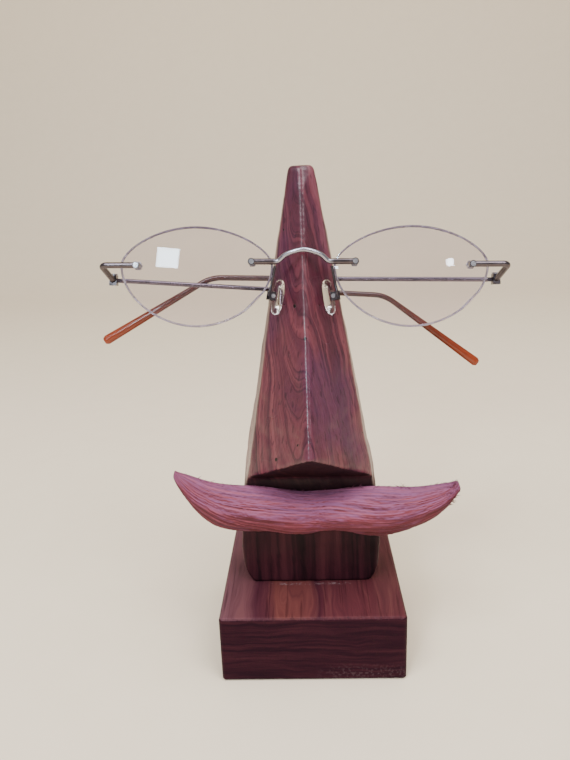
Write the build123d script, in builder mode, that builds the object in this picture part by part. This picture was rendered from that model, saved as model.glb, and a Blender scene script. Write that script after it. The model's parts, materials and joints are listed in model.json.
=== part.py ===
from build123d import *
import os
from math import cos, sin, tan, radians

# Nose-shaped wooden eyeglasses stand with a pair of rimless glasses resting on it.
# Frame: millimetres, +Z up, -Y is the front, +X is to the right of a viewer in front.
# Origin: centre of the underside of the base block.

# ------------------------------------------------------------------ stand sizes
base_width = 64.0
base_height = 25.0
base_edge = 0.8

stand_top = 171.9  # top of the nose
body_back = 11.0  # flat back of nose and neck
neck_front = -10.0
# Half widths and heights along the neck's outline, from its foot to its top inside the nose
neck_back_outline = ((22.0, base_height), (25.2, 44.0), (24.6, 62.0), (20.8, 78.0))
neck_front_outline = ((21.4, base_height), (24.9, 44.0), (22.9, 62.0), (18.2, 78.0))
neck_foot_flare = (0.9, 1)  # directions of the outlines at foot and top
neck_top_flare = (-0.45, 1)
neck_edge = 1.4
neck_edge_run = 52.5  # only the neck's long edges are longer than this

# The carved nose is a little wider on its left; each line runs from nose_low to stand_top
nose_low = 66.0
nose_left_back = (Vector(-24.3, body_back), Vector(-4.5, body_back))
nose_right_back = (Vector(23.7, body_back), Vector(4.2, body_back))
nose_left_corner = (Vector(-21.6, -10.3), Vector(-4.3, 6.6))
nose_right_corner = (Vector(22.4, -10.3), Vector(4.0, 6.6))
nose_ridge = (Vector(0.75, -36.8), Vector(-0.3, 5.0))
underside_height = 67.0  # where the nose underside meets the neck
underside_slope = 35.0
underside_reach = 60.0
nose_edge = 2.0
nose_top_edge = 1.8

# The moustache hangs a little to the right, and its left tip turns up further
moustache_middle = 2.4
moustache_half = 49.6
moustache_back = neck_front
moustache_crease = 0.6  # height of the crease between bottom and top
# Carved outline: share of the half length, top, bottom, depth
moustache_stations = (
    (-1.00, 70.6, 68.8, 3.6),
    (-0.96, 69.7, 64.4, 5.8),
    (-0.90, 68.7, 58.4, 6.9),
    (-0.80, 66.8, 52.0, 8.5),
    (-0.62, 64.8, 47.8, 10.7),
    (-0.35, 63.6, 47.3, 12.5),
    (0.00, 61.7, 48.0, 13.0),
    (0.35, 63.1, 45.0, 12.5),
    (0.62, 62.6, 46.3, 10.7),
    (0.80, 63.0, 50.2, 8.5),
    (0.90, 63.7, 54.2, 6.9),
    (0.96, 64.1, 59.0, 5.8),
    (1.00, 64.3, 62.0, 4.4),
)

screw_x = 12.0
screw_length = 50.0
screw_radius = 2.2
screw_head_radius = 4.4
screw_head_height = 3.2
screw_slot_length = 6.0
screw_slot_width = 1.0
screw_slot_depth = 1.2
dowel_x = 12.0
dowel_z = 55.5
dowel_radius = 2.5
dowel_length = 14.0

# ---------------------------------------------------------------- glasses sizes
front_origin = Vector(-0.1, -6.0, 140.5)  # middle of the bridge line
front_tilt = 12.0  # tops of the lenses lean back
front_roll = 1.53  # the right-hand side hangs lower

lens_centre = 35.5
lens_half_width = 25.4
lens_above = 12.7
lens_below = 20.4
lens_thickness = 2.0
lens_curve = 130.0
lens_blank = 12.0
lens_sphere_v = -4.0
lens_end_softness = 0.40
lens_flatness = 0.52
lens_fullness = 0.50
hole_inner = 17.0
hole_inner_v = 1.0  # the bridge sits a little above the endpieces
hole_outer = 55.0
lens_hole_radius = 1.1

wire_radius = 0.8
bar_radius = 1.0
eyelet_radius = 1.15
eyelet_thickness = 1.8
bar_inset = 0.9  # the bars start this far from the middle of the lens holes
eyelet_gap = 0.32
lens_screw_radius = 0.65
lens_screw_head_radius = 0.85
lens_screw_head = 0.25
lens_nut_across = 2.6
lens_nut_height = 1.3
lens_slot = 0.2

arch_start = 9.4
arch_reach = 3.0  # how long the curve leaves level at each end
arch_bow = 2.0
# Half of the arch, outside in: across, up from the bars, share of the bow
arch_half = ((6.6, 1.5, 0.35), (3.4, 3.0, 0.8), (0.0, 3.6, 1.0))

pad_u = 8.4
pad_v = -10.6
pad_f = -1.6
pad_splay = 24.0
pad_lean = 11.0
pad_length = 11.6
pad_width = 6.4
pad_thickness = 2.2
pad_round = 0.9
pad_lug_width = 1.2
pad_lug_height = 2.0
pad_lug_reach = 1.55
pad_lug_sink = 0.6
pad_pin_radius = 0.4
pad_pin_reach = 1.1
pad_pin_head_radius = 0.7
pad_pin_head = 0.35
pad_cheek = 0.5
pad_cheek_middle = 0.95
pad_box_height = 2.8
pad_box_depth = 1.9
pad_web_reach = 2.2
pad_arm_radius = 0.45
pad_arm_u = 9.3
pad_arm_low = Vector(10.5, -6.6, -0.6)  # where the arm turns in towards the pad box
pad_arm_bend = 1.6

hinge_u = 65.5
hinge_v = -4.2
hinge_f = -12.0
knuckle_radius = 1.25
knuckle_middle = 1.4
knuckle_outer = 1.0
knuckle_gap = 0.06
hinge_pin_radius = 0.6
running_fit = 0.04
hinge_head_radius = 1.1
hinge_head = 0.6
hinge_web_gap = 0.3
hinge_web = 0.8

corner_out = 1.2
corner_bend = 1.6
neck_width = 1.3

temple_start = 2.4
temple_bow_at = 58.0
temple_bow = 4.8
temple_sleeve_at = 76.0
temple_bend_at = 99.5
temple_length = 145.0
temple_turn_in = 2.7
bow_radius = 300.0
bend_radius = 14.0
core_radius = 0.55
core_short = 5.0  # the wire stops this far inside the end of its sleeve
sleeve_start_radius = 1.0
sleeve_end_half_height = 1.75
sleeve_end_half_width = 1.25
sleeve_end_round = 0.5
sleeve_end_length = 1.1  # the paddle's end narrows over this length
sleeve_end_share = 0.66  # and to this share of its size
paddle_start = 5.2  # the sleeve starts to flatten this far past its corner
bore_lead = 0.5  # the bore's cutter starts this far outside the sleeve
paddle_stations = ((0.0, 0.02), (0.5, 0.5), (1.0, 1.0))  # share of its length, swelling

# One row for each temple: side, fold angle behind the lens plane, rise, bend
temple_right_fold = (1, 8.1, 1.0, 30.2)
temple_left_fold = (-1, 16.2, -2.4, 34.9)

os.makedirs("parts", exist_ok=True)


def write(piece, name):
    """Label one finished piece and write its STEP file."""
    piece.label = name
    export_step(piece, f"parts/{name}.step")


# ------------------------------------------------------------------- base block
with BuildPart() as base_block:
    with BuildSketch():
        Rectangle(base_width, base_width)
    extrude(amount=base_height)
    chamfer(base_block.edges(), base_edge)
    with BuildSketch():
        with Locations((-screw_x, 0), (screw_x, 0)):
            Circle(screw_radius)
    extrude(amount=base_height, mode=Mode.SUBTRACT)
    for x in (-screw_x, screw_x):
        with BuildSketch(Plane((x, 0, 0))):
            Circle(screw_head_radius)
        with BuildSketch(Plane((x, 0, screw_head_height))):
            Circle(screw_radius)
        loft(mode=Mode.SUBTRACT)
write(base_block.part, "base_block")


# ------------------------------------------- screws up through the base into the neck
with BuildPart() as base_screws:
    for x in (-screw_x, screw_x):
        with BuildSketch(Plane((x, 0, 0))):
            Circle(screw_head_radius)
        with BuildSketch(Plane((x, 0, screw_head_height))):
            Circle(screw_radius)
        loft()
        with BuildSketch(Plane((x, 0, 0))):
            Circle(screw_radius)
        extrude(amount=screw_length)
        with BuildSketch(Plane((x, 0, 0))):
            Rectangle(screw_slot_length, screw_slot_width)
        extrude(amount=screw_slot_depth, mode=Mode.SUBTRACT)
write(base_screws.part, "base_screws")


# ---------------------------------------------------------------- nose and neck
def nose_section(height, edges):
    """Where the nose's long edges are at one height."""
    share = (height - nose_low) / (stand_top - nose_low)
    points = [low + (top - low) * share for low, top in edges]
    return [(point.X, point.Y) for point in points]


def is_tall(edge):
    """True for the long edges that run from the neck to the top of the nose."""
    return edge.length > (stand_top - nose_low) / 2


def make_neck():
    """The neck: a plank with curved sides, slimmer in front, its long edges eased."""
    with BuildPart() as neck:
        for y, outline in ((body_back, neck_back_outline), (neck_front, neck_front_outline)):
            foot, top = outline[0], outline[-1]
            with BuildSketch(Plane.XZ.offset(-y)):
                with BuildLine():
                    Spline(*outline, tangents=(neck_foot_flare, neck_top_flare))
                    mirror(about=Plane.YZ)
                    Line(foot, (-foot[0], foot[1]))
                    Line(top, (-top[0], top[1]))
                make_face()
        loft(ruled=True)
        fillet(neck.edges().filter_by(lambda edge: edge.length > neck_edge_run), neck_edge)
    return neck.part


nose_edges = (nose_left_back, nose_right_back, nose_right_corner, nose_ridge, nose_left_corner)

with BuildPart() as nose_body:
    for height in (nose_low, stand_top):
        with BuildSketch(Plane.XY.offset(height)):
            Polygon(*nose_section(height, nose_edges), align=None)
    loft(ruled=True)
    fillet(nose_body.edges().filter_by(is_tall).sort_by(Axis.Y)[:1], nose_edge)
    fillet(nose_body.edges().filter_by(is_tall).sort_by(Axis.Y)[-2:], nose_edge)
    fillet(nose_body.faces().sort_by(Axis.Z)[-1].edges(), nose_top_edge)
    underside_rise = underside_reach * tan(radians(underside_slope))
    with BuildSketch(Plane.YZ):
        with BuildLine():
            Polyline(
                (neck_front, underside_height),
                (neck_front, 0),
                (neck_front - underside_reach, 0),
                (neck_front - underside_reach, underside_height + underside_rise),
                close=True,
            )
        make_face()
    extrude(amount=base_width, both=True, mode=Mode.SUBTRACT)
    add(make_neck())
    with BuildSketch(Plane.XY):
        with Locations((-screw_x, 0), (screw_x, 0)):
            Circle(screw_radius)
    extrude(amount=screw_length, mode=Mode.SUBTRACT)
    with BuildSketch(Plane.XZ.offset(-neck_front)):
        with Locations((-dowel_x, dowel_z), (dowel_x, dowel_z)):
            Circle(dowel_radius)
    extrude(amount=-dowel_length / 2, mode=Mode.SUBTRACT)
write(nose_body.part, "nose_body")


# -------------------------------------------------------------------- moustache
with BuildPart() as moustache:
    for share, top, bottom, depth in moustache_stations:
        x = moustache_middle + share * moustache_half
        crease = bottom + moustache_crease * (top - bottom)
        face = moustache_back - depth
        with BuildSketch(Plane((x, 0, 0), x_dir=(0, 1, 0), z_dir=(1, 0, 0))):
            with BuildLine():
                Line((moustache_back, bottom), (moustache_back, top))
                Spline((moustache_back, top), (face, crease), tangents=((-1, 0), (-0.8, -1)))
                Spline((face, crease), (moustache_back, bottom), tangents=((0, -1), (1, -0.4)))
            make_face()
    loft()
    with BuildSketch(Plane.XZ.offset(-moustache_back)):
        with Locations((-dowel_x, dowel_z), (dowel_x, dowel_z)):
            Circle(dowel_radius)
    extrude(amount=dowel_length / 2, mode=Mode.SUBTRACT)
write(moustache.part, "moustache")


with BuildPart() as moustache_dowels:
    with BuildSketch(Plane.XZ.offset(-neck_front)):
        with Locations((-dowel_x, dowel_z), (dowel_x, dowel_z)):
            Circle(dowel_radius)
    extrude(amount=dowel_length / 2, both=True)
write(moustache_dowels.part, "moustache_dowels")


# --------------------------------------------------- the glasses' own directions
roll = radians(front_roll)
tilt = radians(front_tilt)
across = Vector(cos(roll), 0, -sin(roll))
plumb = Vector(sin(roll), 0, cos(roll))
facing = Vector(0, -1, 0) * cos(tilt) + plumb * sin(tilt)
lens_plane = Plane(origin=front_origin, x_dir=across, z_dir=facing)
upright = lens_plane.y_dir


def place(u, v, f):
    """A point given across, up and forward of the middle of the bridge."""
    return lens_plane.from_local_coords(Vector(u, v, f))


def facing_plane(u, v, f):
    """A plane parallel to the lenses, looking forward."""
    return Plane(origin=place(u, v, f), x_dir=across, z_dir=facing)


def upright_plane(u, v, f):
    """A plane across the hinge axis, looking up along it."""
    return Plane(origin=place(u, v, f), x_dir=across, z_dir=upright)


def bent_wire(points, bends, radius):
    """A round wire along straight runs joined by arcs."""
    with BuildPart() as wire:
        with BuildLine() as path:
            if len(points) > 2:
                FilletPolyline(*points, radius=bends)
            else:
                Line(*points)
        with BuildSketch(Plane(origin=path.line @ 0, z_dir=path.line % 0)):
            Circle(radius)
        sweep()
    return wire.part


def lens_face(u, v):
    """How far forward the front of a lens is, at this distance from its middle."""
    return (lens_curve ** 2 - u ** 2 - (v - lens_sphere_v) ** 2) ** 0.5 - lens_curve


# ----------------------------------------------------------------------- lenses
def make_lens(side):
    """One rimless lens: a curved disc cut to the oval, with two drilled holes."""
    middle = side * lens_centre
    behind = lens_curve - lens_thickness
    with BuildPart() as lens:
        with BuildSketch(facing_plane(middle, 0, -lens_blank)):
            with BuildLine():
                for end in (-lens_half_width, lens_half_width):
                    flat = end * lens_flatness
                    high = lens_end_softness * lens_above
                    low = -lens_fullness * lens_below
                    Bezier((end, 0), (end, high), (flat, lens_above), (0, lens_above))
                    Bezier((end, 0), (end, low), (flat, -lens_below), (0, -lens_below))
            make_face()
        extrude(amount=lens_blank + 1)
        with Locations(Location(place(middle, lens_sphere_v, -lens_curve))):
            Sphere(lens_curve, mode=Mode.INTERSECT)
            Sphere(behind, mode=Mode.SUBTRACT)
        with BuildSketch(facing_plane(0, 0, -lens_blank)):
            with Locations((side * hole_inner, hole_inner_v), (side * hole_outer, 0)):
                Circle(lens_hole_radius)
        extrude(amount=lens_blank + 1, mode=Mode.SUBTRACT)
    return lens.part


for side, name in ((-1, "left"), (1, "right")):
    write(make_lens(side), f"lens_{name}")


# ------------------------------------------- screws, nuts and bushes of the lenses
hole_face = lens_face(lens_centre - hole_inner, hole_inner_v)
eyelet_back = hole_face + eyelet_gap
eyelet_front = eyelet_back + eyelet_thickness
bar_f = eyelet_back + bar_radius
nut_face = hole_face - lens_thickness - eyelet_gap
inner_holes = [(-hole_inner, hole_inner_v), (hole_inner, hole_inner_v)]
hole_places = inner_holes + [(-hole_outer, 0), (hole_outer, 0)]

with BuildPart() as lens_bushings:
    with BuildSketch(facing_plane(0, 0, nut_face)):
        with Locations(*hole_places):
            Circle(lens_hole_radius)
            Circle(lens_screw_radius, mode=Mode.SUBTRACT)
    extrude(amount=eyelet_back - nut_face)
write(lens_bushings.part, "lens_bushings")

with BuildPart() as lens_screws:
    with BuildSketch(facing_plane(0, 0, nut_face - lens_nut_height)):
        with Locations(*hole_places):
            Circle(lens_screw_radius)
    extrude(amount=eyelet_front - nut_face + lens_nut_height)
    with BuildSketch(facing_plane(0, 0, eyelet_front)):
        with Locations(*hole_places):
            Circle(lens_screw_head_radius)
    extrude(amount=lens_screw_head)
    with BuildSketch(facing_plane(0, 0, eyelet_front + lens_screw_head)):
        with Locations(*hole_places):
            Rectangle(2 * lens_screw_head_radius, lens_slot)
    extrude(amount=-lens_slot, mode=Mode.SUBTRACT)
write(lens_screws.part, "lens_screws")

with BuildPart() as lens_nuts:
    with BuildSketch(facing_plane(0, 0, nut_face)):
        with Locations(*hole_places):
            RegularPolygon(lens_nut_across / 2, 6, major_radius=False)
            Circle(lens_screw_radius, mode=Mode.SUBTRACT)
    extrude(amount=-lens_nut_height)
write(lens_nuts.part, "lens_nuts")


# ----------------------------------------------------------------------- bridge
arch_ends = [place(side * arch_start, hole_inner_v, bar_f) for side in (-1, 1)]
arch_left = [place(-u, hole_inner_v + v, bar_f + bow * arch_bow) for u, v, bow in arch_half]
arch_right = [place(u, hole_inner_v + v, bar_f + bow * arch_bow) for u, v, bow in arch_half[-2::-1]]

with BuildPart() as bridge:
    with BuildLine() as arch:
        Spline(arch_ends[0], *arch_left, *arch_right, arch_ends[1],
               tangents=(across * arch_reach, across * arch_reach))
    with BuildSketch(Plane(origin=arch_ends[0], z_dir=across)):
        Circle(wire_radius)
    sweep(path=arch.line)
    for side in (-1, 1):
        with BuildSketch(facing_plane(side * hole_inner, hole_inner_v, eyelet_back)):
            Circle(eyelet_radius)
        extrude(amount=eyelet_thickness)
        bar_start = place(side * (hole_inner - bar_inset), hole_inner_v, bar_f)
        bar_end = place(side * arch_start, hole_inner_v, bar_f)
        add(bent_wire([bar_start, bar_end], (), bar_radius))
    with BuildSketch(facing_plane(0, 0, hole_face)):
        with Locations(*inner_holes):
            Circle(lens_screw_radius)
    extrude(amount=eyelet_thickness * 2, mode=Mode.SUBTRACT)
write(bridge.part, "bridge")


# ------------------------------------------------------------- nose pads and arms
def pad_frame(side):
    """Plane of one pad: x runs front to back, z points out, away from the nose."""
    splay = radians(pad_splay)
    lean = radians(pad_lean)
    rear = across * side * sin(splay) - facing * cos(splay)
    long = upright * cos(lean) - across * side * sin(lean)
    outward = rear.cross(long) * side
    return Plane(origin=place(side * pad_u, pad_v, pad_f), x_dir=rear, z_dir=outward)


def make_pad(side):
    """A soft clear pad with a drilled lug on its back."""
    frame = pad_frame(side)
    with BuildPart() as pad:
        with BuildSketch(frame.offset(-pad_thickness / 2)):
            Ellipse(pad_width / 2, pad_length / 2)
        extrude(amount=pad_thickness)
        fillet(pad.edges(), pad_round)
        lug_plane = Plane(origin=frame.from_local_coords(Vector(0, 0, pad_thickness / 2)),
                          x_dir=frame.x_dir, z_dir=frame.z_dir)
        with BuildSketch(lug_plane.offset(-pad_lug_sink)):
            Rectangle(pad_lug_width, pad_lug_height)
        extrude(amount=pad_lug_reach + pad_lug_sink)
        with BuildSketch(pad_pin_plane(side)):
            Circle(pad_pin_radius + running_fit)
        extrude(amount=pad_lug_width, both=True, mode=Mode.SUBTRACT)
    return pad.part


def pad_pin_plane(side):
    """Plane through a pad's rocking pin, looking along the pin."""
    frame = pad_frame(side)
    middle = frame.from_local_coords(Vector(0, 0, pad_thickness / 2 + pad_pin_reach))
    return Plane(origin=middle, x_dir=frame.y_dir, z_dir=frame.x_dir)


def make_pad_arm(side):
    """A thin bent wire with a small two-cheeked box that holds the pad's lug."""
    pin = pad_pin_plane(side)
    frame = pad_frame(side)
    top = place(side * pad_arm_u, hole_inner_v - bar_radius - pad_arm_radius, bar_f)
    low = place(side * pad_arm_low.X, pad_arm_low.Y, pad_arm_low.Z)
    web_middle = frame.from_local_coords(Vector(0, 0, pad_thickness / 2 + pad_web_reach))
    with BuildPart() as arm:
        for cheek in (-1, 1):
            with BuildSketch(pin.offset(cheek * pad_cheek_middle)):
                Rectangle(pad_box_height, pad_box_depth)
            extrude(amount=pad_cheek / 2, both=True)
        with BuildSketch(Plane(origin=web_middle, x_dir=frame.x_dir, z_dir=frame.z_dir)):
            Rectangle(2 * pad_cheek_middle + pad_cheek, pad_box_height)
        extrude(amount=pad_cheek / 2, both=True)
        add(bent_wire([top, low, web_middle], (pad_arm_bend,), pad_arm_radius))
        with BuildSketch(pin):
            Circle(pad_pin_radius)
        extrude(amount=pad_cheek_middle * 2, both=True, mode=Mode.SUBTRACT)
    return arm.part


def make_pad_pin(side):
    """The little screw that a pad rocks on."""
    pin = pad_pin_plane(side)
    end = pad_cheek_middle + pad_cheek / 2
    with BuildPart() as screw:
        with BuildSketch(pin.offset(-end)):
            Circle(pad_pin_radius)
        extrude(amount=2 * end)
        with BuildSketch(pin.offset(-end)):
            Circle(pad_pin_head_radius)
        extrude(amount=-pad_pin_head)
    return screw.part


for side, name in ((-1, "left"), (1, "right")):
    write(make_pad(side), f"nose_pad_{name}")
    write(make_pad_arm(side), f"pad_arm_{name}")
    write(make_pad_pin(side), f"pad_screw_{name}")


# -------------------------------------------------------------- endpieces and hinges
hinge_stack = knuckle_middle + 2 * knuckle_gap + 2 * knuckle_outer


def make_endpiece(side):
    """Eyelet, straight bar, corner and return leg with the hinge's outer knuckles."""
    u = side * hinge_u
    web_f = hinge_f + knuckle_radius + hinge_web_gap + hinge_web / 2
    bar_start = place(side * (hole_outer + bar_inset), 0, bar_f)
    corner = place(side * (hinge_u + corner_out), 0, bar_f)
    leg_end = place(u, hinge_v, web_f)
    with BuildPart() as endpiece:
        with BuildSketch(facing_plane(side * hole_outer, 0, eyelet_back)):
            Circle(eyelet_radius)
        extrude(amount=eyelet_thickness)
        add(bent_wire([bar_start, corner, leg_end], (corner_bend,), bar_radius))
        with BuildSketch(facing_plane(side * hole_outer, 0, hole_face)):
            Circle(lens_screw_radius)
        extrude(amount=eyelet_thickness * 2, mode=Mode.SUBTRACT)
        with BuildSketch(facing_plane(u, hinge_v, web_f)):
            Rectangle(2 * knuckle_radius, hinge_stack)
        extrude(amount=hinge_web / 2, both=True)
        for level in (-1, 1):
            start = level * (knuckle_middle / 2 + knuckle_gap)
            with BuildSketch(upright_plane(u, hinge_v + start, hinge_f)):
                Circle(knuckle_radius)
                with Locations((0, -knuckle_radius)):
                    Rectangle(2 * knuckle_radius, 2 * knuckle_radius + hinge_web_gap / 2)
            extrude(amount=level * knuckle_outer)
        with BuildSketch(upright_plane(u, hinge_v, hinge_f)):
            Circle(hinge_pin_radius)
        extrude(amount=hinge_stack, both=True, mode=Mode.SUBTRACT)
    return endpiece.part


def make_hinge_screw(side):
    """The screw that a temple turns on, put in from above."""
    u = side * hinge_u
    with BuildPart() as screw:
        with BuildSketch(upright_plane(u, hinge_v - hinge_stack / 2, hinge_f)):
            Circle(hinge_pin_radius)
        extrude(amount=hinge_stack)
        with BuildSketch(upright_plane(u, hinge_v + hinge_stack / 2, hinge_f)):
            Circle(hinge_head_radius)
        extrude(amount=hinge_head)
        with BuildSketch(upright_plane(u, hinge_v + hinge_stack / 2 + hinge_head, hinge_f)):
            Rectangle(2 * hinge_head_radius, lens_slot)
        extrude(amount=-lens_slot, mode=Mode.SUBTRACT)
    return screw.part


for side, name in ((-1, "left"), (1, "right")):
    write(make_endpiece(side), f"endpiece_{name}")
    write(make_hinge_screw(side), f"hinge_screw_{name}")


# ---------------------------------------------------------------------- temples
def temple_points(side, fold, rise, bend):
    """Points of one folded temple, from beside its hinge to its tip."""
    def heading(turn, drop):
        angle = radians(fold - turn)
        down = radians(drop)
        return Vector(-side * cos(angle) * cos(down), -sin(down), -sin(angle) * cos(down))

    hinge = Vector(side * hinge_u, hinge_v, hinge_f)
    level = heading(0, 0)
    first = heading(0, -rise)
    second = heading(temple_bow, -rise)
    third = heading(temple_bow + temple_turn_in, bend)
    start = hinge + level * temple_start
    bow = start + first * (temple_bow_at - temple_start)
    sleeve = bow + second * (temple_sleeve_at - temple_bow_at)
    corner = sleeve + second * (temple_bend_at - temple_sleeve_at)
    end = corner + third * (temple_length - temple_bend_at)
    return [place(*point) for point in (hinge, start, bow, sleeve, corner, end)]


def make_temple(fold_row):
    """Knuckle, wire shaft and the thinner core that runs inside the sleeve."""
    side = fold_row[0]
    hinge, start, bow, sleeve, corner, end = temple_points(*fold_row)
    core_end = end + (corner - end).normalized() * core_short
    low = upright_plane(side * hinge_u, hinge_v - knuckle_middle / 2, hinge_f)
    neck_run = Plane(origin=(hinge + start) / 2, x_dir=start - hinge, z_dir=upright)
    with BuildPart() as temple:
        with BuildSketch(low):
            Circle(knuckle_radius)
        extrude(amount=knuckle_middle)
        with BuildSketch(neck_run):
            Rectangle(temple_start, neck_width)
        extrude(amount=knuckle_middle / 2, both=True)
        add(bent_wire([start, bow, sleeve], (bow_radius,), wire_radius))
        add(bent_wire([sleeve, corner, core_end], (bend_radius,), core_radius))
        with BuildSketch(low):
            Circle(hinge_pin_radius + running_fit)
        extrude(amount=knuckle_middle, mode=Mode.SUBTRACT)
    return temple.part


def make_temple_tip(fold_row):
    """The sleeve on the temple's end: a tube round the bend, then a flat paddle."""
    start, corner, end = temple_points(*fold_row)[3:]
    along = (end - corner).normalized()
    level = along.cross(upright).normalized()
    flattens = corner + along * paddle_start
    narrows = end - along * sleeve_end_length
    with BuildPart() as tip:
        for share, swell in paddle_stations:
            high = sleeve_start_radius + swell * (sleeve_end_half_height - sleeve_start_radius)
            wide = sleeve_start_radius + swell * (sleeve_end_half_width - sleeve_start_radius)
            middle = flattens + (narrows - flattens) * share
            with BuildSketch(Plane(origin=middle, x_dir=level, z_dir=along)):
                Ellipse(wide, high)
        loft()
        for middle, size in ((narrows, 1), (end, sleeve_end_share)):
            with BuildSketch(Plane(origin=middle, x_dir=level, z_dir=along)):
                Ellipse(sleeve_end_half_width * size, sleeve_end_half_height * size)
        loft(ruled=True)
        fillet(tip.edges().sort_by_distance(end)[0], sleeve_end_round)
        add(bent_wire([start, corner, flattens], (bend_radius,), sleeve_start_radius))
        mouth = start - (corner - start).normalized() * bore_lead
        blind = end + (corner - end).normalized() * core_short
        add(bent_wire([mouth, corner, blind], (bend_radius,), core_radius), mode=Mode.SUBTRACT)
    return tip.part


for fold_row, name in ((temple_left_fold, "left"), (temple_right_fold, "right")):
    write(make_temple(fold_row), f"temple_{name}")
    write(make_temple_tip(fold_row), f"temple_tip_{name}")
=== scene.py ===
import json
import math
import random

import bmesh
import bpy
from mathutils import Matrix, Vector, noise
from mathutils.bvhtree import BVHTree


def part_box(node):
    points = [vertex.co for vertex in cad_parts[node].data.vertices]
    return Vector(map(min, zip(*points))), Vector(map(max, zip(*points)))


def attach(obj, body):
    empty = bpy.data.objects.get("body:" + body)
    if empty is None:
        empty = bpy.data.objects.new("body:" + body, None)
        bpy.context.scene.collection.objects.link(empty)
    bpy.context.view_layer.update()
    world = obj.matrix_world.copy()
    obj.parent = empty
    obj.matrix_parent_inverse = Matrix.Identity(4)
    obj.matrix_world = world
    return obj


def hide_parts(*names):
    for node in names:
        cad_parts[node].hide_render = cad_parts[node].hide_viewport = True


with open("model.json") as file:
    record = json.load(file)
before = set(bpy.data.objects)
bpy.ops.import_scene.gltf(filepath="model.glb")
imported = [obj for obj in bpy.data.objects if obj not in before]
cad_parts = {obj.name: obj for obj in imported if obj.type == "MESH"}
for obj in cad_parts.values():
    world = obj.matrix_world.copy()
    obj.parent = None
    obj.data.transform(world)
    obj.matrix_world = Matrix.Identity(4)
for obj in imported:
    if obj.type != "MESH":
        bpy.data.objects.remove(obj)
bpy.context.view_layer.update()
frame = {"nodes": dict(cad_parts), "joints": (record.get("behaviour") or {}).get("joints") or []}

MM = 0.001
NODES = frame["nodes"]
RNG = random.Random(7)

# ------------------------------------------------------------------ node helpers


class Graph:
    """A material's node tree with short calls for the nodes used here."""

    def __init__(self, name):
        self.material = bpy.data.materials.new(name)
        self.material.use_nodes = True
        self.tree = self.material.node_tree
        self.tree.nodes.clear()
        self.output = self.tree.nodes.new("ShaderNodeOutputMaterial")
        self.shader = self.tree.nodes.new("ShaderNodeBsdfPrincipled")
        self.link(self.shader.outputs[0], self.output.inputs["Surface"])
        self.coords = self.tree.nodes.new("ShaderNodeTexCoord").outputs["Object"]

    def link(self, out, into):
        self.tree.links.new(out, into)
        return into

    def set(self, socket, value):
        """Sets or links one of a node's inputs."""
        if hasattr(value, "is_output"):
            self.link(value, socket)
        else:
            socket.default_value = value

    def math(self, kind, a, b=0.0, clamp=False):
        node = self.tree.nodes.new("ShaderNodeMath")
        node.operation = kind
        node.use_clamp = clamp
        for socket, value in zip(node.inputs, (a, b)):
            self.set(socket, value)
        return node.outputs[0]

    def vector(self, kind, a, b=(0, 0, 0)):
        node = self.tree.nodes.new("ShaderNodeVectorMath")
        node.operation = kind
        self.set(node.inputs[0], a)
        self.set(node.inputs[1], b)
        return node.outputs["Value"] if kind in ("LENGTH", "DISTANCE") else node.outputs[0]

    def place(self, source, move=(0, 0, 0), turn=(0, 0, 0), scale=(1, 1, 1)):
        node = self.tree.nodes.new("ShaderNodeMapping")
        self.set(node.inputs["Vector"], source)
        node.inputs["Location"].default_value = move
        node.inputs["Rotation"].default_value = [math.radians(a) for a in turn]
        node.inputs["Scale"].default_value = scale
        return node.outputs[0]

    def noise(self, source, scale=1.0, detail=3.0, rough=0.5, warp=0.0):
        node = self.tree.nodes.new("ShaderNodeTexNoise")
        self.set(node.inputs["Vector"], source)
        node.inputs["Scale"].default_value = scale
        node.inputs["Detail"].default_value = detail
        node.inputs["Roughness"].default_value = rough
        node.inputs["Distortion"].default_value = warp
        return node

    def split(self, source):
        node = self.tree.nodes.new("ShaderNodeSeparateXYZ")
        self.link(source, node.inputs[0])
        return node.outputs

    def join(self, *parts):
        node = self.tree.nodes.new("ShaderNodeCombineXYZ")
        for socket, value in zip(node.inputs, parts):
            self.set(socket, value)
        return node.outputs[0]

    def face_normal(self):
        return self.tree.nodes.new("ShaderNodeNewGeometry").outputs["True Normal"]

    def ramp(self, source, stops):
        node = self.tree.nodes.new("ShaderNodeValToRGB")
        self.set(node.inputs[0], source)
        elements = node.color_ramp.elements
        while len(elements) < len(stops):
            elements.new(0.5)
        for element, (at, colour) in zip(elements, stops):
            element.position = at
            element.color = (*colour, 1)
        return node.outputs[0]

    def grey(self, source, low, high, to_low=0.0, to_high=1.0):
        """Maps low..high of a value to to_low..to_high, clamped."""
        node = self.tree.nodes.new("ShaderNodeMapRange")
        self.set(node.inputs["Value"], source)
        for key, value in zip(("From Min", "From Max", "To Min", "To Max"), (low, high, to_low, to_high)):
            node.inputs[key].default_value = value
        return node.outputs[0]

    def mix(self, share, a, b, kind="MIX"):
        node = self.tree.nodes.new("ShaderNodeMix")
        node.data_type = "RGBA"
        node.blend_type = kind
        self.set(node.inputs["Factor"], share)
        self.set(node.inputs[6], a if hasattr(a, "is_output") else (*a, 1))
        self.set(node.inputs[7], b if hasattr(b, "is_output") else (*b, 1))
        return node.outputs[2]

    def bump(self, height, distance, strength=1.0, under=None):
        node = self.tree.nodes.new("ShaderNodeBump")
        node.inputs["Strength"].default_value = strength
        node.inputs["Distance"].default_value = distance
        self.set(node.inputs["Height"], height)
        if under is not None:
            self.link(under, node.inputs["Normal"])
        return node.outputs[0]

    def finish(self, **inputs):
        """Sets the shader's inputs by name, underscores for spaces."""
        for key, value in inputs.items():
            socket = self.shader.inputs[key.replace("_", " ")]
            if isinstance(value, tuple) and len(value) == 3 and socket.type == "RGBA":
                value = (*value, 1)
            self.set(socket, value)
        return self.material


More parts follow.
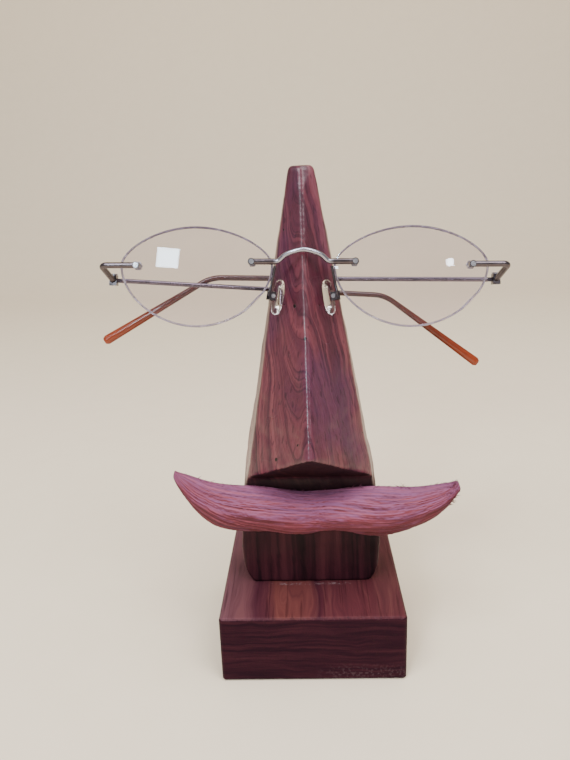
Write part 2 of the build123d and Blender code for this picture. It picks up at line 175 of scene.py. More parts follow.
# --------------------------------------------------------------------- materials
NOSE_DARK = (0.022, 0.005, 0.012)
NOSE_MID = (0.082, 0.0185, 0.032)
NOSE_WARM = (0.15, 0.039, 0.051)
NOSE_LIGHT = (0.215, 0.071, 0.083)
NOSE_PURPLE = (0.073, 0.02, 0.056)
PITH_MOVE = (-0.034, -0.006, 0)  # where the heart of the tree lay, beside the nose
PITH_TURN = 52  # degrees about Z to the growth rings' own axes
PITH_LEAN = 0.229  # how far the pith drifts across for each metre of height
PITH_LEVEL = 0.075  # height at which that drift is nil
RING_STRETCH = 2.1  # the growth rings are ovals
NECK_SHADE_START, NECK_SHADE_FULL = 66.5 * MM, 62.5 * MM  # heights between which painted shade darkens the neck below the nose
SHADE_FOOT = (57 * MM, 63 * MM)  # the nose's shade on the neck comes in over these heights
SHADE_TOP = (67.5 * MM, 66.5 * MM)  # and ends over these
FINE, LONG = 1500, 50  # noise scale across and along the grain


def fibres(g, along, seed):
    """Fine fibres and open pores drawn out along one axis: returns both, and a bump of them."""
    stretch = {"Y": (FINE, LONG, FINE), "Z": (FINE, FINE, LONG)}[along]
    fibre = g.noise(g.place(g.coords, scale=stretch), detail=3.0, rough=0.6).outputs["Fac"]
    coarser = [0.62 * k for k in stretch]
    spots = g.noise(g.place(g.coords, move=(seed, seed, seed), scale=coarser), detail=1.0).outputs["Fac"]
    pore = g.grey(spots, 0.62, 0.68)
    normal = g.bump(g.math("SUBTRACT", g.math("MULTIPLY", fibre, 0.35), pore), 0.04 * MM, 0.5)
    return fibre, pore, normal


def nose_wood():
    """The carved nose and neck: lacquered, with growth rings cut into cathedral figure."""
    g = Graph("nose_wood")
    slow = g.noise(g.coords, scale=26.0, detail=2.0).outputs["Color"]
    quick = g.noise(g.place(g.coords, scale=(1, 1, 0.35)), scale=190.0, detail=2.0).outputs["Color"]
    wander = g.vector("ADD", g.vector("MULTIPLY", slow, (0.012, 0.012, 0)),
                      g.vector("MULTIPLY", quick, (0.0012, 0.0012, 0)))
    grown = g.vector("ADD", g.vector("ADD", g.coords, wander), PITH_MOVE)
    height = g.split(g.coords)[2]
    across, through, _ = g.split(g.place(grown, turn=(0, 0, PITH_TURN)))
    across = g.math("ADD", across, g.math("MULTIPLY", g.math("SUBTRACT", height, PITH_LEVEL), PITH_LEAN))
    ring = g.vector("LENGTH", g.join(g.math("MULTIPLY", across, RING_STRETCH), through, 0.0))
    years = g.join(ring, g.math("MULTIPLY", height, 0.012), 0.0)
    bands = g.noise(years, scale=420.0, detail=3.0, rough=0.55).outputs["Fac"]
    broad = g.noise(years, scale=110.0, detail=1.0).outputs["Fac"]
    patch = g.place(g.coords, move=(3, 1, 2), scale=(1, 1, 0.5))
    patch = g.noise(patch, scale=48.0, detail=2.0).outputs["Fac"]
    tone = g.math("ADD", g.math("MULTIPLY", bands, 0.5), g.math("MULTIPLY", broad, 0.5))
    body = g.ramp(tone, ((0.34, NOSE_DARK), (0.45, NOSE_MID), (0.55, NOSE_WARM), (0.68, NOSE_LIGHT)))
    line = g.grey(g.math("ABSOLUTE", g.math("SUBTRACT", bands, 0.47)), 0.0, 0.034, 0.85, 0.0)
    body = g.mix(g.math("MULTIPLY", line, g.grey(patch, 0.35, 0.6, 0.25, 1.0)), body, NOSE_DARK)
    body = g.mix(g.grey(patch, 0.5, 0.68, 0.0, 0.6), body, NOSE_PURPLE)
    fibre, pore, normal = fibres(g, "Z", 3.1)
    body = g.mix(g.grey(fibre, 0.35, 0.7, 0.0, 0.35), body, NOSE_LIGHT, "SOFT_LIGHT")
    body = g.mix(g.math("MULTIPLY", pore, 0.5), body, NOSE_DARK)
    # Painted shade: below the nose and moustache the neck takes a darker, striped copy of the wood,
    # strongest on its front faces.
    neck_shade = g.grey(height, NECK_SHADE_START, NECK_SHADE_FULL)
    sideways = g.math("ADD", g.split(g.coords)[0], g.math("MULTIPLY", bands, 0.002))
    stripes = g.join(sideways, 0.0, g.math("MULTIPLY", height, 0.03))
    stripes = g.noise(stripes, scale=300.0, detail=3.0).outputs["Fac"]
    neck = g.ramp(stripes, ((0.36, (0.008, 0.0018, 0.004)), (0.5, (0.03, 0.006, 0.011)),
                            (0.66, (0.056, 0.013, 0.019))))
    facing_side, facing_back, facing_up = g.split(g.face_normal())
    in_front = g.grey(facing_back, -0.45, -0.75)
    shade = g.math("MULTIPLY", neck_shade, g.math("ADD", g.math("MULTIPLY", in_front, 0.5), 0.5))
    body = g.mix(shade, body, neck)
    # Painted shade under the nose: its downward faces, and the band of neck just below the overhang, are
    # darkened.
    overhang_shade = g.math("MULTIPLY", g.grey(height, *SHADE_FOOT), g.grey(height, *SHADE_TOP))
    overhang_shade = g.math("MULTIPLY", overhang_shade, in_front)
    under = g.math("MAXIMUM", g.grey(facing_up, -0.25, -0.5, 0.0, 0.9), g.math("MULTIPLY", overhang_shade, 0.85))
    body = g.mix(under, body, (0.007, 0.0015, 0.003))
    spots = g.noise(g.place(g.coords, move=(1.3, 0.2, 0.7)), scale=420.0, detail=0.0).outputs["Fac"]
    pit = g.grey(spots, 0.83, 0.85)
    body = g.mix(pit, body, (0.006, 0.002, 0.003))
    normal = g.bump(g.math("MULTIPLY", pit, -1.0), 0.15 * MM, 0.6, normal)
    peel = g.noise(g.coords, scale=520.0, detail=1.0).outputs["Fac"]
    normal = g.bump(peel, 0.035 * MM, 0.35, normal)
    dull = g.math("MAXIMUM", under, g.math("MULTIPLY", neck_shade, 0.7))
    rough = g.math("ADD", g.grey(patch, 0.3, 0.7, 0.24, 0.36), g.math("MULTIPLY", dull, 0.4))
    lacquer = g.math("SUBTRACT", 0.62, g.math("MULTIPLY", g.math("MAXIMUM", under, neck_shade), 0.57))
    lacquer = g.math("MULTIPLY", lacquer, g.grey(g.math("ABSOLUTE", facing_side), 0.82, 0.93, 1.0, 0.1))
    return g.finish(Base_Color=body, Normal=normal, Roughness=rough, Coat_Weight=lacquer,
                    Coat_Roughness=0.24, Specular_IOR_Level=0.12)


NECK_DUST_LINE = 11.2 * MM  # dust lies this far in front of the base's middle, along the neck
NECK_DUST_ENDS = (10 * MM, 16 * MM)  # and thins out between these distances to each side


def base_wood():
    """The base block: bands run front to back on top, fine level lines on its sides."""
    low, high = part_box("base_block")
    g = Graph("base_wood")
    x, y, z = g.split(g.coords)
    wander = g.noise(g.place(g.coords, scale=(60, 14, 60)), detail=3.0).outputs["Fac"]
    banded = g.math("ADD", x, g.grey(wander, 0.3, 0.7, -0.004, 0.004))
    bands = g.ramp(g.grey(banded, low.x, high.x), (
        (0.0, (0.13, 0.053, 0.068)), (0.14, (0.12, 0.043, 0.052)), (0.2, (0.062, 0.017, 0.027)),
        (0.28, (0.07, 0.019, 0.026)), (0.34, (0.125, 0.037, 0.033)), (0.44, (0.115, 0.033, 0.033)),
        (0.48, (0.046, 0.011, 0.019)), (0.55, (0.09, 0.024, 0.029)), (1.0, (0.085, 0.021, 0.026))))
    fine = g.join(banded, g.math("MULTIPLY", y, 0.04), z)
    fine = g.noise(fine, scale=900.0, detail=3.0).outputs["Fac"]
    top = g.mix(g.grey(fine, 0.42, 0.66, 0.0, 0.4), bands, (0.04, 0.011, 0.017))
    top = g.mix(g.grey(fine, 0.45, 0.3, 0.0, 0.3), top, (0.14, 0.05, 0.045))
    level = g.join(g.math("MULTIPLY", x, 0.05), g.math("MULTIPLY", y, 0.05),
                   g.math("ADD", z, g.math("MULTIPLY", wander, 0.004)))
    lines = g.noise(level, scale=850.0, detail=4.0, rough=0.6).outputs["Fac"]
    side = g.ramp(lines, ((0.34, (0.012, 0.002, 0.007)), (0.5, (0.022, 0.004, 0.01)),
                          (0.7, (0.036, 0.008, 0.014))))
    up = g.split(g.face_normal())[2]
    body = g.mix(g.grey(up, 0.5, 0.8), side, top)
    _, pore, normal = fibres(g, "Y", 8.4)
    body = g.mix(g.math("MULTIPLY", pore, 0.4), body, (0.02, 0.005, 0.008))
    to_edge = g.math("MINIMUM", g.math("SUBTRACT", high.x, g.math("ABSOLUTE", x)),
                     g.math("SUBTRACT", high.y, g.math("ABSOLUTE", y)))
    down = g.math("SUBTRACT", high.z, z)
    edge = g.math("SQRT", g.math("ADD", g.math("POWER", to_edge, 2), g.math("POWER", down, 2)))
    ragged = g.noise(g.coords, scale=800.0, detail=4.0, rough=0.7).outputs["Fac"]
    edge = g.math("ADD", edge, g.grey(ragged, 0.35, 0.65, 0.0, 0.0014))
    worn = g.grey(edge, 0.0006, 0.0013, 0.7, 0.0)
    body = g.mix(g.math("MULTIPLY", worn, 0.8), body, (0.085, 0.032, 0.042))
    by_neck = g.grey(g.math("ABSOLUTE", x), *NECK_DUST_ENDS, 1.0, 0.0)
    from_neck = g.math("ABSOLUTE", g.math("ADD", y, NECK_DUST_LINE))
    dusty = g.math("MULTIPLY", g.grey(from_neck, 0.0003, 0.0011, 0.5, 0.0), by_neck)
    low_right = g.math("MULTIPLY", g.grey(z, 0.007, 0.002), g.grey(x, 0.0, 0.01))
    specks = g.noise(g.place(g.coords, move=(4, 2, 9)), scale=1300.0, detail=1.0).outputs["Fac"]
    zone = g.math("MAXIMUM", g.math("MULTIPLY", dusty, g.grey(up, 0.5, 0.8)),
                  g.math("MULTIPLY", low_right, 0.13))
    speck = g.math("MULTIPLY", g.grey(specks, 0.5, 0.68), zone)
    body = g.mix(speck, body, (0.25, 0.18, 0.19))
    rough = g.math("ADD", g.grey(wander, 0.3, 0.7, 0.36, 0.48), g.math("MULTIPLY", worn, 0.3), clamp=True)
    return g.finish(Base_Color=body, Normal=normal, Roughness=rough, Specular_IOR_Level=0.06)


def raw_wood():
    """The moustache: unvarnished, coarse fibres that follow its curve."""
    g = Graph("raw_wood")
    grain = g.tree.nodes.new("ShaderNodeAttribute")
    grain.attribute_name = "grain"
    way = grain.outputs["Vector"]
    streak = g.noise(g.place(way, scale=(0.3, 9, 9)), detail=4.0, rough=0.6, warp=0.3)
    fine = g.noise(g.place(way, scale=(0.5, 21, 21)), detail=4.0, rough=0.62)
    fibre = g.noise(g.place(way, scale=(3.0, 110, 110)), detail=2.0, rough=0.6)
    blotch = g.noise(g.place(way, scale=(1.6, 5, 5)), detail=3.0)
    body = g.ramp(streak.outputs["Fac"], (
        (0.38, (0.055, 0.008, 0.012)), (0.46, (0.13, 0.022, 0.031)),
        (0.54, (0.205, 0.041, 0.058)), (0.64, (0.3, 0.076, 0.112))))
    dark = g.grey(fine.outputs["Fac"], 0.5, 0.6, 0.0, 0.8)
    body = g.mix(dark, body, (0.05, 0.012, 0.02))
    body = g.mix(g.grey(fibre.outputs["Fac"], 0.52, 0.72, 0.0, 0.35), body, (0.37, 0.12, 0.165))
    body = g.mix(g.grey(blotch.outputs["Fac"], 0.5, 0.66, 0.0, 0.45), body, (0.2, 0.07, 0.16))
    facing_up = g.split(g.face_normal())[2]
    # Painted shade: faces turned downwards are darkened.
    body = g.mix(g.grey(facing_up, 0.45, -0.3, 0.0, 0.5), body, (0.07, 0.014, 0.02))
    # Painted light: faces turned upwards are lightened towards a pale pink.
    painted_top_light = g.grey(facing_up, 0.5, 0.98, 0.0, 0.35)
    body = g.mix(painted_top_light, body, (0.4, 0.17, 0.36))
    height = g.math("ADD", g.math("MULTIPLY", fine.outputs["Fac"], -0.7), fibre.outputs["Fac"])
    normal = g.bump(height, 0.16 * MM, 0.8)
    rough = g.grey(fibre.outputs["Fac"], 0.3, 0.7, 0.62, 0.85)
    return g.finish(Base_Color=body, Normal=normal, Roughness=rough, Specular_IOR_Level=0.2)


def metal(name, colour, rough, scratch, centre_tone=None):
    """Metal with fine scratches and uneven polish; the optional last argument is a lighter colour used
    near X = 0, and its reach from there.
    """
    g = Graph(name)
    cloud = g.noise(g.coords, scale=420.0, detail=3.0)
    lines = g.noise(g.place(g.coords, turn=(12, 20, 8), scale=(250, 2600, 2600)), detail=2.0, rough=0.6)
    tone = g.mix(g.grey(cloud.outputs["Fac"], 0.3, 0.7),
                 [c * 0.82 for c in colour], [min(1, c * 1.15) for c in colour])
    if centre_tone:
        centre_colour, reach = centre_tone
        side = g.math("ABSOLUTE", g.split(g.coords)[0])
        tone = g.mix(g.grey(side, reach - 1 * MM, reach + 1 * MM, 1.0, 0.0), tone, centre_colour)
    uneven = g.math("ADD", g.grey(cloud.outputs["Fac"], 0.3, 0.7, rough * 0.7, rough * 1.3),
                    g.grey(lines.outputs["Fac"], 0.45, 0.75, 0.0, scratch))
    normal = g.bump(lines.outputs["Fac"], 0.01 * MM, 0.4)
    return g.finish(Base_Color=tone, Metallic=1.0, Roughness=uneven, Normal=normal)


def lens_glass():
    """Clear coated lens, barely tinted, with faint smears."""
    g = Graph("lens_glass")
    smear = g.noise(g.place(g.coords, scale=(60, 60, 90)), detail=3.0).outputs["Fac"]
    rough = g.grey(smear, 0.45, 0.75, 0.0, 0.05)
    tint = g.mix(g.grey(smear, 0.3, 0.7), (0.9, 0.85, 0.9), (0.93, 0.885, 0.925))
    return g.finish(Base_Color=tint, Roughness=rough, Transmission_Weight=1.0, IOR=1.5,
                    Specular_Tint=(0.85, 0.9, 1.0))


def ground_edge():
    """The lens's ground and polished edge: milky, with a violet cast and painted shade over its upper
    half.
    """
    g = Graph("ground_edge")
    cloud = g.noise(g.coords, scale=240.0, detail=3.0).outputs["Fac"]
    low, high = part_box("lens_left")
    tone = g.mix(g.grey(cloud, 0.35, 0.65), (0.6, 0.54, 0.68), (0.78, 0.74, 0.85))
    # Painted shade: the upper half of the edge darkens towards its top.
    upper_shade = g.grey(g.split(g.coords)[2], (low.z + high.z) / 2, high.z, 0.0, 0.8)
    tone = g.mix(upper_shade, tone, (0.2, 0.15, 0.28))
    rough = g.grey(cloud, 0.3, 0.7, 0.12, 0.3)
    return g.finish(Base_Color=tone, Roughness=rough, Transmission_Weight=0.55, IOR=1.5)


def amber(name, tip):
    """Translucent amber sleeve, browner towards its root and redder at its end."""
    g = Graph(name)
    away = g.vector("DISTANCE", g.coords, tuple(tip))
    cloud = g.noise(g.coords, scale=160.0, detail=2.0)
    near = g.grey(g.math("ADD", away, g.grey(cloud.outputs["Fac"], 0.3, 0.7, -0.003, 0.003)), 0.004, 0.05)
    body = g.ramp(near, ((0.0, (0.3, 0.045, 0.012)), (0.4, (0.17, 0.026, 0.009)),
                         (1.0, (0.07, 0.014, 0.009))))
    dust = g.noise(g.coords, scale=900.0, detail=3.0)
    rough = g.grey(dust.outputs["Fac"], 0.35, 0.75, 0.08, 0.24)
    normal = g.bump(dust.outputs["Fac"], 0.01 * MM, 0.3)
    return g.finish(Base_Color=body, Roughness=rough, Normal=normal, Transmission_Weight=0.3, IOR=1.46)


def clear_plastic(name, tint, rough, clear, ior):
    """Clear soft plastic with a faint haze."""
    g = Graph(name)
    haze = g.noise(g.coords, scale=500.0, detail=3.0)
    tone = g.mix(g.grey(haze.outputs["Fac"], 0.3, 0.7), tint, [c * 0.93 for c in tint])
    uneven = g.grey(haze.outputs["Fac"], 0.3, 0.7, rough * 0.7, rough * 1.4)
    return g.finish(Base_Color=tone, Roughness=uneven, Transmission_Weight=clear, IOR=ior)


def dress(names, material):
    """Gives CAD nodes one material."""
    for name in names:
        mesh = NODES[name].data
        mesh.materials.clear()
        mesh.materials.append(material)


# The lens plane's forward direction, from the hinge axis and the front's own slant
LEFT_HINGE = next(j for j in frame["joints"] if j["name"] == "left_temple_fold")
UPRIGHT = Vector(LEFT_HINGE["axis"]).normalized()
RIGHT_HINGE = next(j for j in frame["joints"] if j["name"] == "right_temple_fold")
ACROSS = (Vector(RIGHT_HINGE["pos_m"]) - Vector(LEFT_HINGE["pos_m"])).normalized()
FACING = ACROSS.cross(UPRIGHT).normalized()

grey_metal = metal("grey_metal", (0.1, 0.085, 0.095), 0.2, 0.12)
bridge_low, bridge_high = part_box("bridge")
bridge_metal = metal("bridge_metal", (0.09, 0.075, 0.085), 0.2, 0.12,
                     ((0.34, 0.34, 0.4), (bridge_high.x - bridge_low.x) / 4))
wire_metal = metal("wire_metal", (0.13, 0.108, 0.135), 0.24, 0.12)
bright_metal = metal("bright_metal", (0.5, 0.49, 0.53), 0.2, 0.1)
steel = metal("plated_steel", (0.6, 0.57, 0.48), 0.35, 0.2)
dress(["bridge"], bridge_metal)
dress(["pad_arm_left", "pad_arm_right", "endpiece_left", "endpiece_right"], grey_metal)
dress(["temple_left", "temple_right"], wire_metal)
dress(["lens_screws", "lens_nuts", "pad_screw_left", "pad_screw_right",
       "hinge_screw_left", "hinge_screw_right"], bright_metal)
dress(["base_screws"], steel)
dress(["lens_left", "lens_right"], lens_glass())
dress(["nose_pad_left", "nose_pad_right"], clear_plastic("clear_pad", (0.99, 0.96, 0.94), 0.03, 1.0, 1.22))
dress(["lens_bushings"], clear_plastic("clear_bush", (0.9, 0.92, 0.96), 0.2, 0.7, 1.43))
dress(["base_block"], base_wood())
dress(["nose_body"], nose_wood())
dress(["moustache_dowels"], raw_wood())
for side in ("left", "right"):
    low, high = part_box(f"temple_tip_{side}")
    end_x = high.x if side == "left" else low.x
    dress([f"temple_tip_{side}"], amber(f"amber_{side}", Vector((end_x, (low.y + high.y) / 2, low.z))))


# ---------------------------------------------------------------- stand, reshaped
CARVED_VOXEL = 0.6 * MM
CARVED_SOFTENING = 10  # rounds of smoothing
CARVED_SWELLS = ((16 * MM, 0.7 * MM), (4.5 * MM, 0.22 * MM))  # size and height of each swell


def weld(obj):
    """Joins a mesh's split corners so that later modifiers see one skin."""
    step = obj.modifiers.new("weld", "WELD")
    step.merge_threshold = 0.002 * MM


def hand_carved(obj, voxel, swells):
    """Softens a carved piece's edges and gives its faces the slight swells of hand work."""
    weld(obj)
    skin = obj.modifiers.new("skin", "REMESH")
    skin.mode = "VOXEL"
    skin.voxel_size = voxel
    skin.use_smooth_shade = True
    soften = obj.modifiers.new("soften", "SMOOTH")
    soften.factor = 0.5
    soften.iterations = CARVED_SOFTENING
    for number, (size, amount) in enumerate(swells):
        texture = bpy.data.textures.new(f"{obj.name}_swell_{number}", "CLOUDS")
        texture.noise_scale = size
        texture.noise_depth = 1
        swell = obj.modifiers.new(f"swell_{number}", "DISPLACE")
        swell.texture = texture
        swell.texture_coords = "LOCAL"
        swell.strength = amount
        swell.mid_level = 0.5


hand_carved(NODES["nose_body"], CARVED_VOXEL, CARVED_SWELLS)


def ease(obj, width, segments):
    """Eases a piece's sharp edges."""
    weld(obj)
    bevel = obj.modifiers.new("ease", "BEVEL")
    bevel.width = width
    bevel.segments = segments
    bevel.limit_method = "ANGLE"


ease(NODES["base_block"], 0.35 * MM, 3)


# -------------------------------------------------- pieces built in this script


def new_piece(name, build, material):
    """A smooth object of a bmesh, in the scene, with its material."""
    bmesh.ops.recalc_face_normals(build, faces=build.faces)
    mesh = bpy.data.meshes.new(name)
    build.to_mesh(mesh)
    build.free()
    for face in mesh.polygons:
        face.use_smooth = True
    obj = bpy.data.objects.new(name, mesh)
    bpy.context.scene.collection.objects.link(obj)
    mesh.materials.append(material)
    return obj


# --------------------------------------------------------------------- lens edges
EDGE_STEPS = 160  # rings round a lens
EDGE_CORNERS = 10  # points round the band's section
EDGE_THICK = 0.4 * MM  # half the band's thickness across the edge
EDGE_PROUD = 0.08 * MM
SIDE_FACE = 0.5  # a face whose normal has more than this along FACING is not on the lens's side
RIM_SHARE = 0.93  # corners past this share of the lens's reach are on its rim, not in its holes


def rim_points(lens, back):
    """Corners of the lens's side face at its front or back, in order round its middle."""
    mesh = NODES[lens].data
    low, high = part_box(lens)
    middle = (low + high) / 2
    reach = (high.x - low.x) / 2
    found = []
    for face in mesh.polygons:
        if abs(face.normal.dot(FACING)) > SIDE_FACE:
            continue
        spots = [mesh.vertices[v].co - middle for v in face.vertices]
        half = sum(spot.dot(FACING) for spot in spots) / len(spots)
        for spot in spots:
            wide, tall = spot.dot(ACROSS), spot.dot(UPRIGHT)
            outer = math.hypot(wide, tall * reach / ((high.z - low.z) / 2)) > RIM_SHARE * reach
            if outer and (spot.dot(FACING) < half) == back:
                found.append((math.atan2(tall, wide), spot + middle))
    return sorted(found, key=lambda item: item[0])


def at_turn(rim, turn):
    """The point of a rim at one angle, between its two nearest corners."""
    after = next((n for n, (angle, _) in enumerate(rim) if angle >= turn), 0)
    (low, a), (high, b) = rim[after - 1], rim[after]
    span = (high - low) % math.tau
    share = ((turn - low) % math.tau) / span if span > 1e-6 else 0.0
    return a.lerp(b, share)


def make_ground_edge(side, material):
    """A lens's ground edge: a slim band just proud of the side face, its corners eased."""
    front, back = (rim_points(f"lens_{side}", at_back) for at_back in (False, True))
    low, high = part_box(f"lens_{side}")
    middle = (low + high) / 2
    build = bmesh.new()
    rings = []
    for i in range(EDGE_STEPS):
        turn = -math.pi + math.tau * (i + 0.5) / EDGE_STEPS
        ahead, behind = at_turn(front, turn), at_turn(back, turn)
        core = (ahead + behind) / 2
        out = core - middle
        out = (out - FACING * out.dot(FACING)).normalized()
        deep = (ahead - behind) / 2
        ring = []
        for k in range(EDGE_CORNERS):
            swing = math.tau * k / EDGE_CORNERS
            lift = EDGE_PROUD - EDGE_THICK + EDGE_THICK * math.cos(swing)
            ring.append(build.verts.new(core + out * lift + deep * math.sin(swing)))
        rings.append(ring)
    for i, ring in enumerate(rings):
        ahead = rings[(i + 1) % EDGE_STEPS]
        for k in range(EDGE_CORNERS):
            n = (k + 1) % EDGE_CORNERS
            build.faces.new((ring[k], ring[n], ahead[n], ahead[k]))
    obj = new_piece(f"ground_edge_{side}", build, material)
    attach(obj, "glasses_front")


edge_material = ground_edge()
for side in ("left", "right"):
    make_ground_edge(side, edge_material)


# --------------------------------------------------------------------- moustache
MOUSTACHE_LOW, MOUSTACHE_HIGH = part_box("moustache")
MOUSTACHE_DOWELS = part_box("moustache_dowels")
MOUSTACHE_RINGS = 300
FRONT_STEPS = 72  # steps round the front of a ring, from its top to its foot
BACK_STEPS = 12  # steps up its flat back
TIP_MARGIN = 0.1 * MM  # the rings stop this far inside the tips
BACK_MARGIN = 0.3 * MM  # heights are taken this far in front of the flat back
BORE_MARGIN = 0.3 * MM  # the dowel holes are this much wider than the dowels, at most
FIBRE_SLANT = 0.07  # how far round the moustache its fibres wind in half its length
SPINE_SPREAD = 34  # rings averaged on each side for the smooth line the fibres follow
GRAIN_LENGTH = 5  # how far the grain's own coordinate runs from the middle to a tip
# Each layer of relief: its height, its rate along and across the grain, and its shift
COARSE_RELIEF = (0.45 * MM, 0.9, 3.4, 3)
RIDGE_RELIEF = (0.26 * MM, 1.6, 15, 0)
HAIR_RELIEF = (0.12 * MM, 7, 42, 9)
TIP_CALM = 0.5  # share of the relief that is gone at the tips
FOOT_TURN, FOOT_WIDTH = 0.62, 0.1  # where round a ring the torn lower edge is, and how wide
FOOT_CHIPS = 1.1 * MM
SPLINTERS = 260
TIP_SPLINTERS = 0.45  # share of them at the right tip
TIP_RINGS = 14  # rings from the right tip that carry these
BARE_RINGS = 6  # rings from the left tip that carry none
RIDGE_POINTS = (0, 1, 2, 3, 4)  # points of a ring along its top
FOOT_POINTS = 12  # points of a ring along its foot
SPLINTER_LENGTH = (0.8, 2.2)  # millimetres, as are the next two
SPLINTER_WIDTH = (0.09, 0.2)
SPLINTER_SUNK = 0.15
SPLINTER_LIFT = (0.3, 1.1)


def moustache_ring(surface, x):
    """Points round the moustache at one station, carried straight across its two dowel holes."""
    reach = MOUSTACHE_DOWELS[1].x
    bore = (MOUSTACHE_DOWELS[1].z - MOUSTACHE_DOWELS[0].z) / 2 + BORE_MARGIN
    centre = math.copysign(reach - bore + BORE_MARGIN, x)
    if abs(x - centre) >= bore:
        return open_ring(surface, x)
    share = (x - centre + bore) / (2 * bore)
    near, far = (open_ring(surface, centre + side * bore) for side in (-1, 1))
    return [a.lerp(b, share) for a, b in zip(near, far)]


def open_ring(surface, x):
    """Points round the CAD moustache: over the front from top to foot, then up the back."""
    back = MOUSTACHE_HIGH.y - BACK_MARGIN
    sky = surface.ray_cast(Vector((x, back, 1)), Vector((0, 0, -1)))[0]
    ground = surface.ray_cast(Vector((x, back, 0)), Vector((0, 0, 1)))[0]
    middle = (sky + ground) / 2
    points = []
    for i in range(FRONT_STEPS + 1):
        turn = math.pi * i / FRONT_STEPS
        way = Vector((0, -math.sin(turn), math.cos(turn)))
        points.append(surface.ray_cast(middle, way)[0] or points[-1].copy())
    foot, start = points[-1], points[0]
    return points + [foot.lerp(start, (i + 1) / (BACK_STEPS + 1)) for i in range(BACK_STEPS)]


def relief(way, turn, share):
    """How far the torn surface stands out at one point, and less so towards the tips."""
    push = 0.0
    for height, along, across, shift in (COARSE_RELIEF, RIDGE_RELIEF, HAIR_RELIEF):
        layer = noise.noise(Vector((way.x * along, way.y * across, way.z * across + shift)))
        push += height * layer
    low_edge = max(0.0, 1 - abs(turn - FOOT_TURN) / FOOT_WIDTH)
    push -= low_edge * max(0.0, layer) * FOOT_CHIPS  # the last layer is the hair
    return push * (1 - TIP_CALM * abs(share) ** 6)


def make_moustache():
    """The moustache with torn fibres: ridges along the grain, chips and frayed tips."""
    along = MOUSTACHE_RINGS
    middle = (MOUSTACHE_LOW.x + MOUSTACHE_HIGH.x) / 2
    half = (MOUSTACHE_HIGH.x - MOUSTACHE_LOW.x) / 2 - TIP_MARGIN
    surface = BVHTree.FromObject(NODES["moustache"], bpy.context.evaluated_depsgraph_get())
    build = bmesh.new()
    grain = build.verts.layers.float_vector.new("grain")
    rings = []
    shares = [-1 + 2 * i / along for i in range(along + 1)]
    outlines = [moustache_ring(surface, middle + share * half) for share in shares]
    centres = [sum(points, Vector()) / len(points) for points in outlines]
    for i, (share, points, centre) in enumerate(zip(shares, outlines, centres)):
        ring = []
        spread = min(SPINE_SPREAD, i, along - i)
        spine = sum(centres[i - spread:i + spread + 1], Vector()) / (2 * spread + 1)
        for k, point in enumerate(points):
            slant = math.atan2(spine.y - point.y, point.z - spine.z) - math.tau * FIBRE_SLANT * share
            way = Vector((share * GRAIN_LENGTH, math.cos(slant), math.sin(slant)))
            on_front = 0 < k <= FRONT_STEPS
            push = relief(way, k / len(points), share) if on_front else 0.0
            moved = point + (point - centre).normalized() * push
            moved.y = min(moved.y, MOUSTACHE_HIGH.y)
            vert = build.verts.new(moved)
            vert[grain] = way
            ring.append(vert)
        rings.append(ring)
    for a, b in zip(rings, rings[1:]):
        for k in range(len(a)):
            n = (k + 1) % len(a)
            build.faces.new((a[k], a[n], b[n], b[k]))
    build.faces.new(list(reversed(rings[0])))
    build.faces.new(rings[-1])
    for _ in range(SPLINTERS):
        add_splinter(build, grain, rings)
    obj = new_piece("moustache_carved", build, raw_wood())
    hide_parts("moustache")
    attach(obj, "stand")


def splinter_root():
    """Which ring and which point on it a torn fibre starts from."""
    last = MOUSTACHE_RINGS
    near_tip = RNG.random() < TIP_SPLINTERS
    if near_tip:
        i = RNG.randrange(last - TIP_RINGS, last - 1)
    else:
        i = RNG.randrange(BARE_RINGS, last - TIP_RINGS - 2)
    if RNG.random() < 0.5:
        k = RNG.choice(RIDGE_POINTS)
    else:
        k = RNG.randrange(FRONT_STEPS - FOOT_POINTS, FRONT_STEPS - 1)
    if near_tip:
        k = RNG.randrange(2, FRONT_STEPS - 2)
    return i, k


def add_splinter(build, grain, rings):
    """One torn fibre, a thin four-sided sliver lying along the surface."""
    i, k = splinter_root()
    root = rings[i][k].co.copy()
    ahead = (rings[i + 1][k].co - rings[i][k].co).normalized()
    inside = sum((v.co for v in rings[i]), Vector()) / len(rings[i])
    out = (root - inside).normalized()
    length = RNG.uniform(*SPLINTER_LENGTH) * MM
    wide = RNG.uniform(*SPLINTER_WIDTH) * MM
    way = (ahead * RNG.choice((1, 1, -1)) + out * RNG.uniform(*SPLINTER_LIFT)).normalized()
    side = way.cross(out).normalized()
    root -= out * SPLINTER_SUNK * MM
    base = [root + side * wide, root + out * wide, root - side * wide, root - out * wide]
    corners = [build.verts.new(p) for p in base]
    tip = build.verts.new(root + way * length)
    for vert in corners + [tip]:
        vert[grain] = rings[i][k][grain] + Vector((0, RNG.uniform(0, 3), 0))
    for n in range(4):
        build.faces.new((corners[n], corners[(n + 1) % 4], tip))
    build.faces.new(corners)


make_moustache()


# ----------------------------------------------------------------- floor and light
FLOOR_NEAR, FLOOR_FAR, FLOOR_SIDE, FLOOR_TOP = -1.2, 1.3, 2.4, 2.2
FLOOR_BEND = 0.5  # radius of the sweep's curve
FLOOR_STEPS = 16
CAMERA_AT = (0.8 * MM, -229.9 * MM, 166.2 * MM)
CAMERA_TURNS = (2.10, 16.14, -2.03)  # yaw, pitch and roll in degrees
CAMERA_LENS = 32.2
LIGHT_AIM = (0, 0, 0.09)  # near the middle of the object
ROOM_TINT, ROOM_LIGHT = (0.97, 0.94, 0.92, 1), 0.55


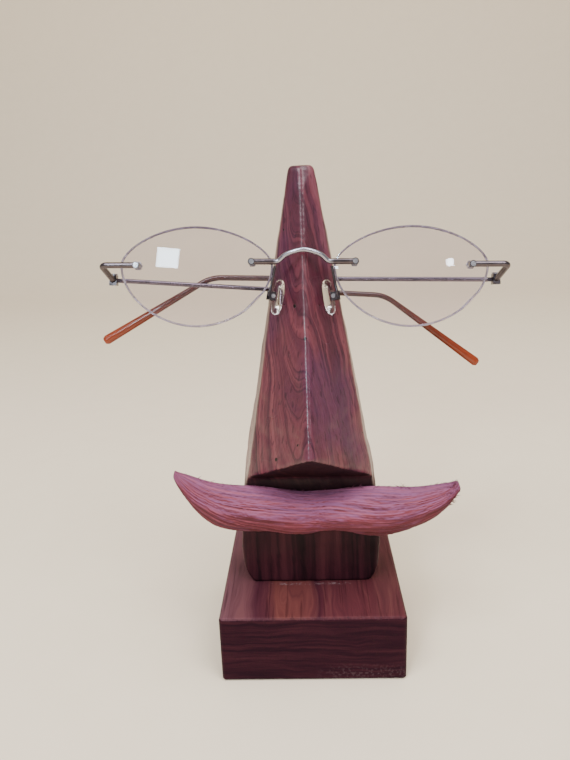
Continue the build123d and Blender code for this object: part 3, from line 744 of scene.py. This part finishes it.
def make_floor():
    """A plain pale sweep: flat under the stand, curving up far behind it."""
    profile = [(FLOOR_NEAR, 0.0)]
    for i in range(FLOOR_STEPS + 1):
        turn = math.pi / 2 * i / FLOOR_STEPS
        behind = FLOOR_FAR - FLOOR_BEND + FLOOR_BEND * math.sin(turn)
        profile.append((behind, FLOOR_BEND - FLOOR_BEND * math.cos(turn)))
    profile.append((FLOOR_FAR, FLOOR_TOP))
    mesh = bpy.data.meshes.new("floor")
    verts = [(x, y, z) for y, z in profile for x in (-FLOOR_SIDE, FLOOR_SIDE)]
    faces = [(2 * i, 2 * i + 1, 2 * i + 3, 2 * i + 2) for i in range(len(profile) - 1)]
    mesh.from_pydata(verts, [], faces)
    for face in mesh.polygons:
        face.use_smooth = True
    floor = bpy.data.objects.new("floor", mesh)
    bpy.context.scene.collection.objects.link(floor)
    g = Graph("pale_floor")
    speckle = g.noise(g.coords, scale=60.0, detail=4.0)
    tone = g.mix(speckle.outputs["Fac"], (0.88, 0.76, 0.57), (0.92, 0.8, 0.61))
    mesh.materials.append(g.finish(Base_Color=tone, Roughness=0.75))


def soft_light(name, at, size, power, colour):
    """One soft rectangular studio light, turned to the object."""
    data = bpy.data.lights.new(name, "AREA")
    data.shape = "RECTANGLE"
    data.size, data.size_y = size
    data.energy = power
    data.color = colour
    lamp = bpy.data.objects.new(name, data)
    lamp.location = at
    lamp.rotation_euler = (Vector(LIGHT_AIM) - Vector(at)).to_track_quat("-Z", "Y").to_euler()
    bpy.context.scene.collection.objects.link(lamp)


def make_camera():
    """The photograph's viewpoint: close in front, a little above the glasses, looking down."""
    yaw, pitch, roll = (math.radians(a) for a in CAMERA_TURNS)
    reach = math.cos(pitch)
    forward = Vector((-math.sin(yaw) * reach, math.cos(yaw) * reach, -math.sin(pitch)))
    level = Vector((math.cos(yaw), math.sin(yaw), 0))
    above = level.cross(forward)
    right = level * math.cos(roll) + above * math.sin(roll)
    up = above * math.cos(roll) - level * math.sin(roll)
    data = bpy.data.cameras.new("camera")
    data.lens = CAMERA_LENS
    data.clip_start = 0.01
    camera = bpy.data.objects.new("camera", data)
    turn = Matrix((right, up, -forward)).transposed()
    camera.matrix_world = Matrix.Translation(CAMERA_AT) @ turn.to_4x4()
    bpy.context.scene.collection.objects.link(camera)
    bpy.context.scene.camera = camera


make_floor()
make_camera()
soft_light("window", (-0.405, -0.98, 0.59), (0.17, 0.145), 4.0, (0.75, 0.93, 1.0))
soft_light("lamp", (0.47, -0.92, 0.50), (0.05, 0.05), 0.5, (0.9, 0.97, 1.0))
soft_light("key", (-0.42, -0.6, 1.1), (0.55, 0.55), 12.0, (0.98, 0.95, 1.0))
soft_light("fill", (0.5, -0.6, 1.1), (0.55, 0.55), 9.0, (1.0, 0.95, 0.96))
soft_light("top", (0.2, -0.1, 1.2), (0.8, 0.6), 7.0, (1.0, 0.97, 0.95))

world = bpy.data.worlds.new("soft_room")
world.use_nodes = True
world.node_tree.nodes["Background"].inputs["Color"].default_value = ROOM_TINT
world.node_tree.nodes["Background"].inputs["Strength"].default_value = ROOM_LIGHT
bpy.context.scene.world = world
